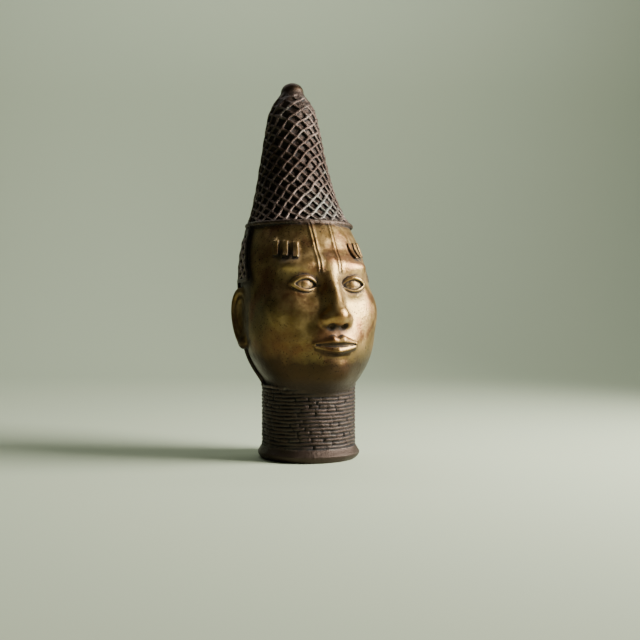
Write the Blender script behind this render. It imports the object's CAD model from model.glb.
"""Cast bronze head with a net cap: the fine casting, its patina, the floor, the light and the camera.
Lengths on the casting are parts of its height, a five-hundredth each, which is about a millimetre.
The patina's patches, the floor, the lights and the camera are in metres."""
import math

import bpy
import numpy as np
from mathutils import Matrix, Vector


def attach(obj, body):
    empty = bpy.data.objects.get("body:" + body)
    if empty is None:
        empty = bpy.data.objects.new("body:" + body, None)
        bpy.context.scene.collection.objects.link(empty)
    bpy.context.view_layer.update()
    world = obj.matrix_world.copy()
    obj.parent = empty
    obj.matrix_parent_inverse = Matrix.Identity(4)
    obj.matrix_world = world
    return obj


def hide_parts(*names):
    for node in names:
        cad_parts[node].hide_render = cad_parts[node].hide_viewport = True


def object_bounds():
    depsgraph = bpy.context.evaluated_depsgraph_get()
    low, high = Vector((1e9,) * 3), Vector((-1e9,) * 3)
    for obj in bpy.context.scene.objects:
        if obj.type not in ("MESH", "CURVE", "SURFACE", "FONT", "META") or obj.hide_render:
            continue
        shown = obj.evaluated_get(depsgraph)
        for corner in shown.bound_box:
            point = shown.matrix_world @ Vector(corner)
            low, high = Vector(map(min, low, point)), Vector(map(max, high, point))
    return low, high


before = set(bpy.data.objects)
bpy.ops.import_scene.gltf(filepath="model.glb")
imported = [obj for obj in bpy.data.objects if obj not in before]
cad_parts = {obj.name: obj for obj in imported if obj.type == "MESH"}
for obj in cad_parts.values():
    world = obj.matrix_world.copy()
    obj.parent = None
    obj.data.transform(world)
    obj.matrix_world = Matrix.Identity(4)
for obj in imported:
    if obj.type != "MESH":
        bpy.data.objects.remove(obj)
cad_box = [list(corner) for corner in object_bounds()]

# Sizes of the casting, in parts of its height
HEIGHT_PARTS = 500.0
PART = (cad_box[1][2] - cad_box[0][2]) / HEIGHT_PARTS
FOOT_RADIUS = 66.0
FOOT_HEIGHT = 17.0
FOOT_EDGE = 5.0
COLLAR_RADIUS = 60.8
RING_COUNT = 17
RING_PITCH = 4.6
RING_RELIEF = 2.3
COLLAR_LIP = 1.0
COLLAR_TOP = FOOT_HEIGHT + RING_COUNT * RING_PITCH
COLLARED = 7.2
BASE = COLLAR_TOP - COLLARED
RIM = 213.0
CAP_HEIGHT = 179.0
RIM_RADIUS = 70.0
RIM_CORD = 2.9
SHOULDER_RADIUS = 59.5
CAP_TAPER = 0.168
CAP_LEAN = 26.0
KNOB_RADIUS = 15.5
KNOB_HEIGHT = 19.7
NET_CELL = 11.7
NET_RELIEF = 3.6
NET_FULLNESS = 3.8
STRAND = 1.7
PANEL_RELIEF = 4.0
PANEL_CELLS_ROUND = 32
TEMPLE = 138.0

# The head's carving
EYE_Z = 132.0
EYE_SIDE = 31.5
NOSE_Z = 83.0
MOUTH_Z = 59.0
BROW_Z = 155.0
EAR_Z = 93.0
BAR_FIRST_TURN = 26.5
BAR_TURN = 9.0
HEAD_LEAN = 0.25
SKULL_BACK = 14.0
LEAN_PIVOT = 134.0

# Mesh: the grid's step, blocks and corners, the triangles kept, and what counts as far off
STEP = 1.0
BLOCK = 8
BLOCKS_AT_ONCE = 400
GRID_LOW = (-104, -124, -5)
GRID_HIGH = (104, 132, 507)
FACES_KEPT = 190_000
FAR = 60.0

# The patina's ragged patches: where each lies and how far it reaches
STAIN = (-0.078, -0.030, 0.165), 0.075
RUST = (-0.055, -0.052, 0.145), 0.038
WORN_KNOB = (0.006, 0.046, 0.490), 0.014
SOOT = (-0.028, 0.018, 0.39), 0.095
BLOOM = (0.012, -0.020, 0.325), 0.034

CAMERA_AZIMUTH = math.radians(-22)

# The collar's beads: how many to a ring, where they start and how deep each nick between them is
draw = np.random.default_rng(11)
MOST_BEADS = 32
RING_BEADS = draw.integers(20, 31, RING_COUNT)
RING_START = draw.uniform(0, 1, RING_COUNT)
NICK_DEPTH = 0.2 + 2.2 * draw.uniform(0, 1, (RING_COUNT, MOST_BEADS)) ** 2


def blend(a, b, soft):
    """Two forms grown together over a soft width."""
    share = np.clip(0.5 + 0.5 * (b - a) / soft, 0.0, 1.0)
    return b + (a - b) * share - soft * share * (1.0 - share)


def carve(a, b, soft):
    """Form a with b taken out of it."""
    return -blend(-a, b, soft)


def meet(a, b, soft):
    """Where forms a and b overlap."""
    return -blend(-a, -b, soft)


def ellipsoid(x, y, z, centre, radii):
    u = [(p - c) / r for p, c, r in zip((x, y, z), centre, radii)]
    size = np.sqrt(sum(v * v for v in u))
    steep = np.sqrt(sum((v / r) ** 2 for v, r in zip(u, radii))) + 1e-9
    return size * (size - 1.0) / steep


def rod(x, y, z, start, end, start_radius, end_radius):
    run = [e - s for s, e in zip(start, end)]
    away = [p - s for p, s in zip((x, y, z), start)]
    share = np.clip(sum(a * r for a, r in zip(away, run)) / sum(r * r for r in run), 0.0, 1.0)
    gap = np.sqrt(sum((a - share * r) ** 2 for a, r in zip(away, run)))
    return gap - (start_radius + (end_radius - start_radius) * share)


def within(near, form, feature, x, y, z):
    """Applies a feature only to the points near it."""
    if near.any():
        form = form.copy()
        form[near] = feature(x[near], y[near], z[near], form[near])
    return form


def middle_y(z):
    return SKULL_BACK + HEAD_LEAN * (z - LEAN_PIVOT)


def skull(x, y, z):
    leaning_y = y - HEAD_LEAN * (z - LEAN_PIVOT)
    form = ellipsoid(x, leaning_y, z, (0, SKULL_BACK, 124), (83, 90, 142))
    form = blend(form, ellipsoid(x, y, z, (0, -3, 68), (77, 78, 72)), 26)
    neck = np.maximum(np.hypot(x, y) - 51, z - 40)
    return blend(form, neck, 14)


def cheeks_and_chin(x, y, z, form):
    side = np.abs(x)
    form = blend(form, ellipsoid(x, y, z, (0, -62, 60), (34, 27, 30)), 16)
    form = blend(form, ellipsoid(x, y, z, (0, -66, 26), (22, 19, 15)), 18)
    return blend(form, ellipsoid(side, y, z, (39, -44, 102), (30, 26, 27)), 22)


def brow_and_nose(x, y, z, form):
    side = np.abs(x)
    form = carve(form, ellipsoid(side, y, z, (30, -92, EYE_Z + 2), (25, 25, 15)), 14)
    form = blend(form, ellipsoid(side, y, z, (24, -53, BROW_Z), (30, 15, 9)), 17)
    form = blend(form, rod(x, y, z, (0, -63, 158), (0, -94, 98), 6.0, 10.5), 13)
    form = blend(form, ellipsoid(x, y, z, (0, -96, 93), (13, 11.5, 10)), 9)
    form = blend(form, ellipsoid(side, y, z, (13.5, -88.5, 89.5), (8, 11, 8.5)), 6)
    return carve(form, ellipsoid(side, y, z, (8, -95, NOSE_Z - 2), (4.2, 6.5, 4.2)), 2.5)


def eyes(x, y, z, form):
    """Almond openings with raised lids around each eyeball, and a low round iris."""
    side = np.abs(x)
    ball = np.sqrt((side - EYE_SIDE) ** 2 + (y + 50.5) ** 2 + (z - EYE_Z) ** 2) - 20.5
    half, rise, fall, tilt = 17.0, 9.5, 7.5, 0.05
    up = z - EYE_Z - tilt * (side - EYE_SIDE)
    rise_radius = (half**2 + rise**2) / (2 * rise)
    fall_radius = (half**2 + fall**2) / (2 * fall)
    upper = np.hypot(side - EYE_SIDE, up - (rise - rise_radius)) - rise_radius
    lower = np.hypot(side - EYE_SIDE, up + (fall - fall_radius)) - fall_radius
    opening = np.maximum(np.maximum(upper, lower) + 0.5, y + 40)
    iris = np.hypot(side - EYE_SIDE, z - EYE_Z - 0.6) - 6.6
    ball = ball + 0.35 * np.exp(-((iris / 0.9) ** 2))
    form = blend(carve(form, opening, 1.5), ball, 0.8)
    for arc, other, radius in ((upper, lower, 2.7), (lower, upper, 2.2)):
        lid = np.hypot(arc, ball - 1.2) - radius
        lid = np.maximum(np.maximum(lid, other - 1.5), y + 45)
        form = blend(form, lid, 1.8)
    return form


def mouth(x, y, z, form):
    side = np.abs(x)
    peak, corner = (6, -93, MOUTH_Z + 5.6), (26.5, -85.5, MOUTH_Z + 1.0)
    middle = (0, -93.4, MOUTH_Z + 4.4)
    upper = blend(rod(side, y, z, peak, corner, 6.0, 3.6), rod(side, y, z, middle, peak, 5.2, 6.0), 1.5)
    lower = rod(side, y, z, (0, -91.4, MOUTH_Z - 7.2), (24, -85.2, MOUTH_Z - 2.6), 7.4, 4.2)
    form = blend(blend(form, upper, 1.5), lower, 1.5)
    form = carve(form, rod(side, y, z, (0, -97.2, MOUTH_Z), (14, -93.6, MOUTH_Z), 1.7, 1.5), 1.5)
    form = carve(form, rod(side, y, z, (14, -93.6, MOUTH_Z), (25.5, -88.6, MOUTH_Z + 0.3), 1.5, 1.0), 1.5)
    form = carve(form, rod(x, y, z, (0, -95.8, NOSE_Z - 5), (0, -97, MOUTH_Z + 12), 2.8, 3.0), 3)
    return carve(form, rod(side, y, z, (0, -96.5, MOUTH_Z - 17), (12, -93.5, MOUTH_Z - 16), 5, 3.5), 6)


def marks(x, y, z, form):
    """Raised bars over the eyes and two pairs of thin lines, all at one height off the forehead."""
    raised = np.full_like(form, FAR)
    turn = np.arctan2(np.abs(x), middle_y(z) - y)
    reach = np.hypot(x, middle_y(z) - y)
    for k in range(3):
        across = np.abs(turn - math.radians(BAR_FIRST_TURN + BAR_TURN * k)) * reach - 3.6
        along = np.abs(z - (BROW_Z + 21 + 1.5 * k)) - 10.0
        raised = np.minimum(raised, meet(meet(across, along, 1.2), form - 3.0, 1.4))
    for middle in (11.3, 15.7):
        line = meet(np.abs(np.abs(x) - middle) - 1.0, BROW_Z - 8 - z, 1.0)
        raised = np.minimum(raised, meet(line, form - 0.8, 0.8))
    return blend(form, raised, 0.7)


def ear(x, y, z, form):
    """An ear with a rolled rim, an inner fold, a lobe and the small flap at its front."""
    flare, rake = math.radians(22), math.radians(8)
    half_height = 37.0
    dx, dy, dz = np.abs(x) - 82.5, y - 21.0, z - EAR_Z
    back = dy * math.cos(rake) - dz * math.sin(rake)
    v = dy * math.sin(rake) + dz * math.cos(rake)
    u = -back * math.cos(flare) - dx * math.sin(flare)
    w = -back * math.sin(flare) + dx * math.cos(flare)
    width = 18.0 + 3.5 * np.clip(v / half_height, -1, 1)
    outline = (np.hypot(u / width, v / half_height) - 1.0) * width
    plate = meet(outline, np.abs(w - 0.5) - 2.6, 2.0)
    rim = np.hypot(outline + 2.2, w - 2.5) - 2.9
    inner_width, inner_height = width * 0.60, 23.0
    inner = (np.hypot((u - 1.5) / inner_width, (v - 0.5) / inner_height) - 1.0) * inner_width
    fold = np.maximum(np.hypot(inner, w - 2.2) - 2.3, u - 7)
    shape = blend(blend(plate, rim, 1.5), fold, 1.5)
    shape = blend(shape, ellipsoid(u, w, v, (2.0, 1.5, -32.5), (9.5, 5.0, 9.0)), 2.5)
    shape = blend(shape, ellipsoid(u, w, v, (12.5, 3.0, -8.0), (4.2, 4.2, 7.0)), 2)
    shape = blend(shape, ellipsoid(u, w, v, (9.0, -7.0, 0.0), (12, 9, 30)), 4)
    return blend(form, shape, 3)


def wobble(x, y, z):
    """The slow unevenness of hand-laid wax threads, the same from every side of the seam."""
    slow = 0.07 * np.sin(x / 9.0 + z / 23.0) + 0.065 * np.sin(y / 8.0 - z / 17.0)
    return slow + 0.045 * np.sin(z / 5.3 + x / 7.1)


def woven(skin, steps_a, steps_b, cell, sway, clogged=0.0):
    """Two families of threads seated on a sunk ground; the first family lies on top. Where it is clogged,
    the casting has filled the cells."""
    steps_a, steps_b = steps_a + sway, steps_b + sway
    off_a = np.abs(steps_a - np.round(steps_a)) * cell
    off_b = np.abs(steps_b - np.round(steps_b)) * cell
    swell = 0.34 * np.sin(3.3 * steps_a + 1.0) * np.sin(2.9 * steps_b)
    over = np.hypot(off_a, np.maximum(skin + 1.5, 0)) - (STRAND + swell)
    under = np.hypot(off_b, np.maximum(skin + 2.0, 0)) - (STRAND + swell)
    ground = skin + NET_RELIEF * (1 - 0.75 * clogged) + 0.6 * np.sin(4.3 * steps_a) * np.sin(3.7 * steps_b)
    return blend(blend(ground, under, 1.1), over, 0.8)


def outside_of_panel(x, y, z):
    """How far outside the hair panel's outline a point is, measured round the head."""
    turn = np.arctan2(np.abs(x), middle_y(z) - y)
    reach = np.hypot(x, middle_y(z) - y)
    share = np.clip((RIM - z) / (RIM - TEMPLE), 0.0, 1.0)
    upper = meet((np.radians(85 - 10 * share**2) - turn) * reach, TEMPLE - z, 8)
    lower = (math.radians(114.4) - turn) * reach
    return blend(upper, lower, 4)


def hair_panel(x, y, z, form):
    skin = skull(x, y, z) - PANEL_RELIEF
    turn = np.arctan2(x, middle_y(z) - y)
    round_steps = turn * PANEL_CELLS_ROUND / (2 * math.pi)
    down_steps = z / (NET_CELL * math.sqrt(2))
    net = woven(skin, round_steps + down_steps, round_steps - down_steps, NET_CELL, wobble(x, y, z))
    outside = outside_of_panel(x, y, z)
    net = meet(net, outside, 1.5)
    border = np.hypot(outside + 1.6, skin + 1.0) - 2.0
    return blend(form, blend(net, border, 1.0), 1.2)


def head(x, y, z):
    side = np.abs(x)
    form = skull(x, y, z)
    front = y < middle_y(z) - 10
    form = within(front, form, cheeks_and_chin, x, y, z)
    form = within(front & (side < 75) & (z > 60) & (z < 195), form, brow_and_nose, x, y, z)
    form = within(front & (side < 58) & (z > 108) & (z < 156), form, eyes, x, y, z)
    form = within(front & (side < 38) & (z > 28) & (z < 90), form, mouth, x, y, z)
    form = within(front & (side < 75) & (z > 138), form, marks, x, y, z)
    form = within((y > -30) & (form > -12), form, hair_panel, x, y, z)
    return within((side > 55) & (y > -20) & (y < 60) & (z > 35) & (z < 150), form, ear, x, y, z)


def cap_radius(rise):
    flare = (RIM_RADIUS - SHOULDER_RADIUS) * np.exp(-rise / (0.18 * CAP_HEIGHT))
    dome = np.clip((rise / CAP_HEIGHT - 0.755) / 0.29, 0.0, 0.999)
    return (SHOULDER_RADIUS - CAP_TAPER * rise + flare) * np.sqrt(1.0 - dome**3)


def cap_middle_y(rise):
    lean = 0.9 * CAP_LEAN * (1.0 - np.exp(-3.6 * rise / CAP_HEIGHT)) + 0.1 * CAP_LEAN * rise / CAP_HEIGHT
    return middle_y(RIM) + lean


def thread_table():
    """The net's distance down from the knob at rises of the cap."""
    rises = np.linspace(CAP_HEIGHT, 0.0, 400)
    radii = cap_radius(rises)
    slant = np.concatenate([[0], np.cumsum(np.hypot(np.diff(rises), np.diff(radii)))])
    start, end = NET_FULLNESS * radii[0], NET_FULLNESS * radii[-1]
    return rises[::-1], (start + slant * (end - start) / slant[-1])[::-1]


THREAD_RISES, THREAD_DOWNS = thread_table()


def cap(x, y, z):
    """The leaning cap under its net: a square net draped round it from the front."""
    rise = np.clip(z - RIM, 0.0, CAP_HEIGHT * 1.04)
    off_y = y - cap_middle_y(rise)
    reach = np.hypot(x, off_y)
    skin = (reach - cap_radius(rise)) * 0.94
    turn = np.arctan2(x, -off_y) / 4
    down = np.interp(rise, THREAD_RISES, THREAD_DOWNS)
    steps_a = down * (np.sin(turn) + np.cos(turn)) / (math.sqrt(2) * NET_CELL)
    steps_b = down * (np.cos(turn) - np.sin(turn)) / (math.sqrt(2) * NET_CELL)
    patches = 0.55 + 0.45 * np.sin(x / 6.0 + 1.1) * np.sin(y / 7.0 + z / 9.0)
    clogged = np.clip((rise / CAP_HEIGHT - 0.74) / 0.18, 0, 1) * patches
    net = woven(skin, steps_a, steps_b, NET_CELL, wobble(x, y, z), clogged)
    return np.maximum(meet(net, z - RIM - CAP_HEIGHT - 1.0, 6), RIM - 1.3 - z)


def rim_cord(x, y, z):
    """The cord along the cap's edge, laid in two strands."""
    off_y = y - middle_y(RIM)
    reach = np.hypot(x, off_y) - (RIM_RADIUS - 1.2)
    turn = np.arctan2(x, -off_y)
    level = z - RIM - 0.35 * np.sin(3 * turn + 0.7)
    lie = 0.28 * np.sin(64 * turn + 2 * np.arctan2(level, reach)) + 0.15 * np.sin(23 * turn)
    return np.hypot(reach, level) - RIM_CORD - lie


def knob(x, y, z):
    base = RIM + CAP_HEIGHT
    middle = float(cap_middle_y(np.array(CAP_HEIGHT)))
    stem = 0.35 * KNOB_HEIGHT
    dome = ellipsoid(x, y, z, (0, middle, base + stem), (KNOB_RADIUS, KNOB_RADIUS, KNOB_HEIGHT - stem))
    dome = np.where(z > base + stem, dome, np.hypot(x, y - middle) - KNOB_RADIUS)
    dents = 0.3 * np.sin(x / 3.1 + 0.5) * np.sin(z / 3.7) * np.sin(y / 2.9)
    return np.maximum(dome, base - 10 - z) + dents


def collar_and_foot(x, y, z):
    """Beaded rings stacked on a rounded foot rim, each ring nicked between its beads."""
    reach = np.hypot(x, y)
    turn = np.arctan2(y, x)
    level = z + 0.4 * np.sin(2 * turn + 0.4) + 0.3 * np.sin(5 * turn + 2.0)
    level = level + 0.15 * np.sin(13 * turn + z / 6.0)
    ring = np.clip(np.floor((level - FOOT_HEIGHT) / RING_PITCH).astype(int), 0, RING_COUNT - 1)
    across = (level - FOOT_HEIGHT) / RING_PITCH - ring - 0.5
    across = across + 0.05 * np.sin(9 * turn + 2.3 * ring)
    crown = 1 - np.sqrt(np.clip(1 - 4.0 * across**2, 0.0, 1.0))
    beads = RING_BEADS[ring]
    along = (turn / (2 * math.pi) + RING_START[ring]) * beads + 0.22 * np.sin(3 * turn + ring)
    bead = np.round(along).astype(int) % MOST_BEADS
    off = np.abs(along - np.round(along)) * 2 * math.pi * COLLAR_RADIUS / beads
    nick = NICK_DEPTH[ring, bead] * np.exp(-((off / 1.1) ** 2))
    lip = COLLAR_LIP * np.clip((z - COLLAR_TOP + 8) / 8, 0, 1) ** 2
    dents = 0.35 * np.sin(9 * turn + 2.3 * ring) * np.sin(14 * turn - 1.7 * ring)
    radius = COLLAR_RADIUS + lip - RING_RELIEF * crown - nick + dents
    collar = np.maximum(np.maximum(reach - radius, z - COLLAR_TOP), FOOT_HEIGHT - 3 - z) * 0.8
    share = np.clip(z / FOOT_HEIGHT, 0, 1)
    rolled = FOOT_RADIUS - FOOT_EDGE * (1 - np.sin(math.pi * share))
    flared = COLLAR_RADIUS + (FOOT_RADIUS - COLLAR_RADIUS) * np.clip(2 - 2 * share, 0, 1) ** 1.3
    foot_radius = np.where(share < 0.5, rolled, flared)
    foot_radius += 0.4 * np.sin(11 * turn + z / 4.0) * np.sin(7 * turn - z / 3.0)
    foot = np.maximum((reach - foot_radius) * 0.85, z - FOOT_HEIGHT)
    return np.maximum(blend(collar, foot, 1.5), -z)


def casting(x, y, z):
    """The whole casting, less than zero inside; heights are above the floor."""
    form = np.full(x.shape, FAR)
    low = z < COLLAR_TOP + 14
    form[low] = collar_and_foot(x[low], y[low], z[low])
    mid = (z > COLLAR_TOP - 14) & (z < BASE + RIM + 12)
    body = head(x[mid], y[mid], z[mid] - BASE)
    body = meet(body, z[mid] - BASE - RIM, 1.0)
    form[mid] = blend(form[mid], body, 3.0)
    high = z > BASE + RIM - 14
    x, y, z, above = x[high], y[high], z[high] - BASE, form[high]
    above = blend(above, cap(x, y, z), 1.0)
    above = blend(above, rim_cord(x, y, z), 1.0)
    form[high] = blend(above, knob(x, y, z), 9.0)
    return form


def sampled(low, high):
    """The field on a grid, worked out only in blocks that the skin passes through."""
    low, high = np.array(low, float), np.array(high, float)
    blocks = np.ceil((high - low) / (STEP * BLOCK)).astype(int)
    axes = [low[i] + STEP * np.arange(blocks[i] * BLOCK + 1) for i in range(3)]
    middles = [low[i] + STEP * BLOCK * (np.arange(blocks[i]) + 0.5) for i in range(3)]
    centres = np.meshgrid(*middles, indexing="ij")
    rough = casting(*[c.ravel() for c in centres]).reshape(blocks)
    reach = STEP * BLOCK * math.sqrt(3) / 2 * 1.6 + STEP
    side = np.where(rough < 0, -FAR, FAR).astype(np.float32)
    values = np.full(blocks * BLOCK + 1, FAR, np.float32)
    values[:-1, :-1, :-1] = side.repeat(BLOCK, 0).repeat(BLOCK, 1).repeat(BLOCK, 2)
    step = np.arange(BLOCK + 1)
    found = np.argwhere(np.abs(rough) < reach) * BLOCK
    for start in range(0, len(found), BLOCKS_AT_ONCE):
        i, j, k = found[start:start + BLOCKS_AT_ONCE, :, None, None, None].swapaxes(0, 1)
        indices = np.broadcast_arrays(i + step[:, None, None], j + step[:, None], k + step)
        i, j, k = [index.ravel() for index in indices]
        values[i, j, k] = casting(axes[0][i], axes[1][j], axes[2][k])
    return low, values


def skin_of(low, values):
    """Quads around every grid edge that the skin crosses, with one point in each cell that it passes."""
    inside = values < 0
    count = np.array(values.shape) - 1
    corners = [(a, b, c) for a in (0, 1) for b in (0, 1) for c in (0, 1)]
    filled = np.zeros(count, np.int8)
    for a, b, c in corners:
        filled += inside[a:a + count[0], b:b + count[1], c:c + count[2]]
    crossed = (filled > 0) & (filled < 8)
    cells = np.argwhere(crossed)
    number = np.full(count, -1)
    number[crossed] = np.arange(len(cells))
    total, hits = np.zeros((len(cells), 3)), np.zeros((len(cells), 1))
    at = {c: values[tuple((cells + c).T)] for c in corners}
    for corner in corners:
        for axis in range(3):
            if corner[axis] == 0:
                other = tuple(1 if i == axis else v for i, v in enumerate(corner))
                cut = (at[corner] < 0) != (at[other] < 0)
                place = np.tile(np.array(corner, float), (cut.sum(), 1))
                place[:, axis] = at[corner][cut] / (at[corner][cut] - at[other][cut])
                total[cut] += place
                hits[cut] += 1
    points = low + STEP * (cells + total / hits)
    quads = []
    for axis in range(3):
        u, v = [i for i in range(3) if i != axis]
        near = np.take(inside, np.arange(count[axis]), axis)
        far = np.take(inside, np.arange(1, count[axis] + 1), axis)
        edge = np.argwhere(near != far)
        edge = edge[(edge[:, u] > 0) & (edge[:, v] > 0) & (edge[:, u] < count[u]) & (edge[:, v] < count[v])]
        ring = []
        for back_u, back_v in ((1, 1), (0, 1), (0, 0), (1, 0)):
            cell = edge.copy()
            cell[:, u] -= back_u
            cell[:, v] -= back_v
            ring.append(number[tuple(cell.T)])
        ring = np.stack(ring, 1)
        outward = near[tuple(edge.T)] if axis != 1 else ~near[tuple(edge.T)]
        ring[~outward] = ring[~outward][:, ::-1]
        quads.append(ring)
    return points, np.concatenate(quads)


def slope(points, reach):
    """The field at points and the way it rises."""
    x, y, z = points.T
    here = casting(x, y, z)
    rise = [casting(*(points + reach * step).T) - casting(*(points - reach * step).T) for step in np.eye(3)]
    return here, np.stack(rise, 1) / (2 * reach)


def settle(points):
    """Moves the points onto the skin."""
    for _ in range(2):
        here, rise = slope(points, 0.25 * STEP)
        steep = np.maximum((rise * rise).sum(1), 0.2)
        move = -(here / steep)[:, None] * rise
        length = np.sqrt((move**2).sum(1))
        points = points + move * np.minimum(1, 0.6 * STEP / np.maximum(length, 1e-9))[:, None]
    return points


def largest_body(mesh):
    """The corners and triangles of a mesh's largest connected body."""
    corners, faces = np.empty(len(mesh.vertices) * 3), np.empty(len(mesh.loops), np.int32)
    mesh.vertices.foreach_get("co", corners)
    mesh.loops.foreach_get("vertex_index", faces)
    corners, faces = corners.reshape(-1, 3), faces.reshape(-1, 3)
    body, last = np.arange(len(corners)), None
    while last is None or (body != last).any():
        last = body.copy()
        lowest = last[faces].min(1)
        for corner in range(3):
            np.minimum.at(body, faces[:, corner], lowest)
        body = body[body]
    of_face = body[faces[:, 0]]
    used, faces = np.unique(faces[of_face == np.bincount(of_face).argmax()], return_inverse=True)
    return corners[used], faces.reshape(-1, 3)


def casting_piece():
    """The fine casting as one closed mesh."""
    low, values = sampled(GRID_LOW, GRID_HIGH)
    points, quads = skin_of(low, values)
    points = settle(points)
    points[:, 2] = np.maximum(points[:, 2], 0.01)
    mesh = bpy.data.meshes.new("casting_fine")
    mesh.from_pydata((points * PART).tolist(), [], quads.tolist())
    fine = bpy.data.objects.new("casting_fine", mesh)
    bpy.context.collection.objects.link(fine)
    thin = fine.modifiers.new("thin", "DECIMATE")
    thin.ratio = FACES_KEPT / (2 * len(quads))
    thin.use_collapse_triangulate = True
    thinned = bpy.data.meshes.new_from_object(fine.evaluated_get(bpy.context.evaluated_depsgraph_get()))
    corners, faces = largest_body(thinned)
    mesh = bpy.data.meshes.new("casting")
    mesh.from_pydata(corners.tolist(), [], faces.tolist())
    mesh.shade_smooth()
    bpy.data.objects.remove(fine)
    bpy.data.meshes.remove(thinned)
    piece = bpy.data.objects.new("casting", mesh)
    bpy.context.collection.objects.link(piece)
    return piece


def add_surface_facts(mesh):
    """Per point: how hollow, how shut in and how ridged the skin is there, how grimy, and in which zone."""
    points = np.empty(len(mesh.vertices) * 3)
    mesh.vertices.foreach_get("co", points)
    points = points.reshape(-1, 3) / PART
    _, rise = slope(points, 0.6)
    rise /= np.maximum(np.linalg.norm(rise, axis=1), 1e-6)[:, None]

    def closed_in(reach):
        return np.clip(1 - casting(*(points + reach * rise).T) / reach, 0, 1)

    hollow = 0.40 * closed_in(1.5) + 0.35 * closed_in(3.5) + 0.25 * closed_in(8.0)
    under_cord = RIM + BASE - 2.5 - points[:, 2]
    hollow += 0.5 * np.exp(-np.clip(under_cord, 0, None) / 1.5) * (under_cord > 0)
    deep = 0.5 * closed_in(7.0) + 0.5 * closed_in(16.0)
    ridge = np.clip(1 + casting(*(points - 4.0 * rise).T) / 4.0, 0, 1)
    x, y, z = points[:, 0], points[:, 1], points[:, 2] - BASE
    outside_panel = outside_of_panel(x, y, z)
    on_panel = (outside_panel < 1.5) & (z > 8) & (skull(x, y, z) > 1.2)
    on_cap = (z > RIM + 1) | (rim_cord(x, y, z) < 0.6)
    on_cord = np.clip(1.2 - np.abs(z - RIM) / 5, 0, 1) * (rim_cord(x, y, z) < 1.0)
    on_knob = np.clip((z - RIM - CAP_HEIGHT - 4) / 8, 0, 1)
    netted = np.maximum(on_panel, on_cap) * (1 - 0.4 * on_cord) * (1 - 0.9 * on_knob)
    ridge = ridge * np.where(on_panel & (outside_panel > -4), 0.35, 1.0) * (1 - 0.4 * on_cord)
    on_edge = on_panel & (outside_panel > -0.8) & (z > TEMPLE)
    hollow = np.where(on_edge, np.maximum(hollow, 0.42), hollow)
    deep = np.maximum(deep, 0.5 * np.exp(-np.clip(outside_panel, 0, None) / 5.0) * (z > 60))
    by_jaw = (np.abs(outside_panel - 1) < 5) & (z < 60)
    hollow = np.where(by_jaw, 0.55 * hollow, hollow)
    ringed = np.clip((COLLAR_TOP + 12 - points[:, 2]) / 13, 0, 1)
    below_rim = np.exp(-np.clip(RIM - 2 - z, 0, None) / 3.5)
    beside_panel = np.exp(-np.clip(outside_panel, 0, None) / 8.0) * np.clip(z / 80, 0.4, 1)
    above_collar = np.clip((66 - z) / 44, 0, 1) ** 1.2
    underneath = np.clip(-2.0 * rise[:, 2] - 0.05, 0, 1) * np.clip((90 - z) / 20, 0, 1)
    on_ear = (0.60 - 0.5 * ridge) * np.clip((np.abs(x) - 76) / 6, 0, 1) * (y > -8)
    grimy = np.maximum.reduce([below_rim, beside_panel, above_collar, underneath, on_ear, 0.16 * on_knob])
    facts = {"hollow": hollow, "deep": deep, "ridge": ridge}
    facts.update(netted=netted, ringed=ringed, grimy=grimy)
    for name, value in facts.items():
        layer = mesh.attributes.new(name, "FLOAT", "POINT")
        layer.data.foreach_set("value", value.astype(np.float32))


class Nodes:
    """Short calls for building a shader tree."""

    def __init__(self, material):
        material.use_nodes = True
        self.tree = material.node_tree
        self.shader = self.tree.nodes["Principled BSDF"]

    def node(self, kind, inputs=(), **settings):
        node = self.tree.nodes.new(kind)
        for key, value in settings.items():
            setattr(node, key, value)
        for key, value in dict(inputs).items():
            if isinstance(value, bpy.types.NodeSocket):
                self.tree.links.new(value, node.inputs[key])
            else:
                node.inputs[key].default_value = value
        return node

    def place(self):
        return self.node("ShaderNodeTexCoord").outputs["Object"]

    def fact(self, name):
        return self.node("ShaderNodeAttribute", attribute_name=name).outputs["Fac"]

    def noise(self, scale, detail=4.0, rough=0.55, vector=None):
        inputs = {"Vector": vector or self.place(), "Scale": scale, "Detail": detail, "Roughness": rough}
        return self.node("ShaderNodeTexNoise", inputs).outputs["Fac"]

    def spot(self, place, radius):
        """How much a point lies in a ragged patch around a place."""
        away = self.node("ShaderNodeVectorMath", {0: self.place(), 1: place}, operation="DISTANCE")
        inputs = {0: self.noise(90, 5), 1: radius, 2: away.outputs["Value"]}
        ragged = self.node("ShaderNodeMath", inputs, operation="MULTIPLY_ADD")
        return self.ramp(ragged.outputs[0], 1.5 * radius, 0.7 * radius, 0.0, 0.85)

    def ramp(self, value, low, high, bottom=0.0, top=1.0):
        inputs = {0: value, 1: low, 2: high, 3: bottom, 4: top}
        return self.node("ShaderNodeMapRange", inputs).outputs[0]

    def maths(self, operation, a, b):
        return self.node("ShaderNodeMath", {0: a, 1: b}, operation=operation, use_clamp=True).outputs[0]

    def blend(self, share, under, over):
        return self.node("ShaderNodeMix", {0: share, 2: under, 3: over}).outputs[0]

    def mix(self, share, under, over):
        inputs = {0: share, 6: under, 7: over}
        return self.node("ShaderNodeMix", inputs, data_type="RGBA").outputs[2]


def colour(red, green, blue):
    return (red, green, blue, 1.0)


BRIGHT_BRASS = colour(0.50, 0.335, 0.135)


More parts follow.
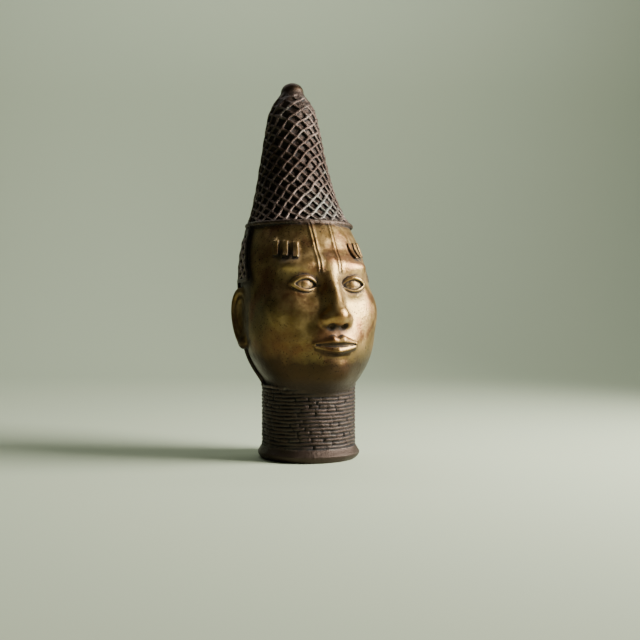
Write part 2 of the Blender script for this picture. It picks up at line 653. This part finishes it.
def golden_skin(n, clouds, mottle, hollow):
    """Worn brass with olive and red-brown stains, and how dirty it is."""
    deep, grimy = n.fact("deep"), n.fact("grimy")
    skin = n.mix(n.ramp(mottle, 0.35, 0.68), colour(0.29, 0.175, 0.055), BRIGHT_BRASS)
    skin = n.mix(n.ramp(clouds, 0.50, 0.68, 0.0, 0.7), skin, colour(0.17, 0.135, 0.045))
    skin = n.mix(n.spot(*STAIN), skin, colour(0.12, 0.082, 0.032))
    rusty = n.spot(*RUST)
    red = n.maths("MAXIMUM", n.ramp(n.noise(26, 6, 0.65), 0.49, 0.62, 0.0, 0.85), rusty)
    skin = n.mix(red, skin, colour(0.19, 0.085, 0.036))
    skin = n.mix(n.spot(*WORN_KNOB), skin, BRIGHT_BRASS)
    smoky = n.maths("ADD", grimy, n.ramp(mottle, 0.3, 0.8, -0.12, 0.12))
    skin = n.mix(n.ramp(smoky, 0.08, 0.65, 0.0, 0.95), skin, colour(0.038, 0.021, 0.011))
    shade = n.maths("ADD", n.ramp(hollow, 0.24, 0.62, 0.0, 0.9), n.ramp(deep, 0.20, 0.70, 0.0, 0.85))
    dirt = n.maths("ADD", shade, n.ramp(mottle, 0.3, 0.8, -0.06, 0.08))
    skin = n.mix(dirt, skin, colour(0.030, 0.019, 0.011))
    pitted = n.maths("MAXIMUM", n.ramp(clouds, 0.44, 0.56), rusty)
    pits = n.maths("MULTIPLY", n.ramp(n.noise(430, 2), 0.61, 0.67), pitted)
    return n.mix(pits, skin, colour(0.02, 0.013, 0.008)), dirt


def dusty_skin(n, clouds, mottle, grain, hollow):
    """Dull brown casting with pale worn tops, some verdigris and black grooves, and how dirty it is."""
    ridge = n.fact("ridge")
    sooty = n.ramp(n.spot(*SOOT), 0.0, 0.85, 1.0, 0.05)
    patches = n.maths("MULTIPLY", n.ramp(mottle, 0.40, 0.60, 0.3), n.ramp(clouds, 0.42, 0.56, 0.15))
    patches = n.maths("MULTIPLY", patches, n.blend(n.fact("ringed"), sooty, 0.55))
    worn = n.mix(patches, colour(0.062, 0.037, 0.026), colour(0.44, 0.325, 0.265))
    green = n.ramp(n.noise(40, 4), 0.55, 0.68, 0.0, 0.6)
    bloom = n.maths("MAXIMUM", green, n.spot(*BLOOM))
    worn = n.mix(n.maths("MULTIPLY", bloom, sooty), worn, colour(0.33, 0.36, 0.30))
    pale = n.maths("MULTIPLY", n.ramp(ridge, 0.20, 0.72), n.ramp(grain, 0.38, 0.60, 0.2, 1.0))
    skin = n.mix(pale, colour(0.046, 0.030, 0.021), worn)
    net_dirt, ring_dirt = n.ramp(hollow, 0.24, 0.52), n.ramp(hollow, 0.19, 0.34)
    dirt = n.blend(n.fact("ringed"), net_dirt, ring_dirt)
    return n.mix(dirt, skin, colour(0.012, 0.009, 0.007)), dirt


def bronze():
    """Golden worn brass on the face, dark patina in every hollow, and a dusty brown net and collar."""
    material = bpy.data.materials.new("bronze")
    n = Nodes(material)
    hollow = n.fact("hollow")
    clouds, mottle, grain = n.noise(16, 3), n.noise(70, 5), n.noise(420, 3)
    rough_zone = n.maths("MAXIMUM", n.fact("netted"), n.fact("ringed"))
    gold, gold_dirt = golden_skin(n, clouds, mottle, hollow)
    dusty, dusty_dirt = dusty_skin(n, clouds, mottle, grain, hollow)
    n.tree.links.new(n.mix(rough_zone, gold, dusty), n.shader.inputs["Base Color"])
    dirt = n.blend(rough_zone, gold_dirt, dusty_dirt)
    clean = n.blend(rough_zone, n.ramp(mottle, 0.3, 0.7, 0.33, 0.47), n.ramp(grain, 0.3, 0.7, 0.42, 0.62))
    n.tree.links.new(n.blend(dirt, clean, 0.8), n.shader.inputs["Roughness"])
    n.tree.links.new(n.blend(dirt, n.blend(rough_zone, 0.95, 0.75), 0.3), n.shader.inputs["Metallic"])
    coarse = n.node("ShaderNodeMath", {0: n.noise(300, 6, 0.7), 1: 3.6}, operation="MULTIPLY").outputs[0]
    heights = n.blend(rough_zone, n.noise(240, 5), coarse)
    bump = n.node("ShaderNodeBump", {"Strength": 0.5, "Distance": 0.0007, "Height": heights})
    n.tree.links.new(bump.outputs["Normal"], n.shader.inputs["Normal"])
    return material


def studio():
    """A pale floor that curves up into a wall behind the casting."""
    half_width, front, bend, bend_radius, wall_top = 7.0, -7.0, 1.5, 1.2, 4.5
    profile = [(front, 0.0)]
    for angle in np.linspace(0, math.pi / 2, 24):
        profile.append((bend + bend_radius * math.sin(angle), bend_radius * (1 - math.cos(angle))))
    profile.append((bend + bend_radius, wall_top))
    behind = (-math.sin(CAMERA_AZIMUTH), math.cos(CAMERA_AZIMUTH))
    points = []
    for side in (-half_width, half_width):
        for away, up in profile:
            points.append((side * behind[1] + away * behind[0], -side * behind[0] + away * behind[1], up))
    count = len(profile)
    faces = [(k, k + count, k + count + 1, k + 1) for k in range(count - 1)]
    mesh = bpy.data.meshes.new("studio")
    mesh.from_pydata(points, [], faces)
    mesh.shade_smooth()
    sweep = bpy.data.objects.new("studio", mesh)
    bpy.context.collection.objects.link(sweep)
    material = bpy.data.materials.new("studio")
    n = Nodes(material)
    n.shader.inputs["Base Color"].default_value = colour(0.50, 0.57, 0.40)
    n.shader.inputs["Roughness"].default_value = 0.9
    mesh.materials.append(material)


def soft_light(name, place, size, power, tint, target, spread=180):
    """A rectangular light aimed at a target, with its beam's spread in degrees."""
    light = bpy.data.lights.new(name, "AREA")
    light.shape = "RECTANGLE"
    light.size, light.size_y = size
    light.energy = power
    light.color = tint
    light.spread = math.radians(spread)
    lamp = bpy.data.objects.new(name, light)
    bpy.context.collection.objects.link(lamp)
    lamp.location = place
    aim = np.array(target) - np.array(place)
    lamp.rotation_euler = (math.atan2(math.hypot(aim[0], aim[1]), -aim[2]), 0, math.atan2(-aim[0], aim[1]))


def from_camera(right, away, up):
    """A place given to the right of the view's middle line, away beyond the casting and up."""
    sine, cosine = math.sin(CAMERA_AZIMUTH), math.cos(CAMERA_AZIMUTH)
    return (right * cosine - away * sine, right * sine + away * cosine, up)


def lights():
    """A big key light from the right, a weak fill, and a light on the wall behind."""
    middle, on_wall = (0.0, 0.02, 0.26), from_camera(-0.3, 2.7, 0.7)
    soft_light("key", from_camera(1.45, -0.25, 0.80), (0.8, 1.1), 39, (1.0, 0.97, 0.93), middle, 100)
    soft_light("fill", from_camera(-1.3, -1.5, 0.9), (1.4, 1.4), 0.7, (0.95, 1.0, 0.97), middle)
    soft_light("wall", from_camera(-0.3, 1.1, 2.4), (3.0, 0.6), 48, (1.0, 1.0, 1.0), on_wall)
    world = bpy.data.worlds.new("studio")
    world.use_nodes = True
    back = world.node_tree.nodes["Background"]
    back.inputs["Color"].default_value = colour(0.60, 0.64, 0.56)
    back.inputs["Strength"].default_value = 0.07
    bpy.context.scene.world = world


def camera():
    """A level camera at the photograph's height, distance and angle, for a frame of 640 by 640."""
    distance, height = 1.105, 0.177
    focal_pixels, frame_pixels, shift_pixels = 850.0, 640.0, 11.5
    data = bpy.data.cameras.new("camera")
    data.sensor_width = 36.0
    data.lens = data.sensor_width * focal_pixels / frame_pixels
    data.shift_x = shift_pixels / frame_pixels
    view = bpy.data.objects.new("camera", data)
    bpy.context.collection.objects.link(view)
    view.location = from_camera(0, -distance, height)
    view.rotation_euler = (math.pi / 2, 0, CAMERA_AZIMUTH)
    bpy.context.scene.camera = view


piece = casting_piece()
add_surface_facts(piece.data)
piece.data.materials.append(bronze())
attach(piece, "root")
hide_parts("bronze_head")
studio()
lights()
camera()
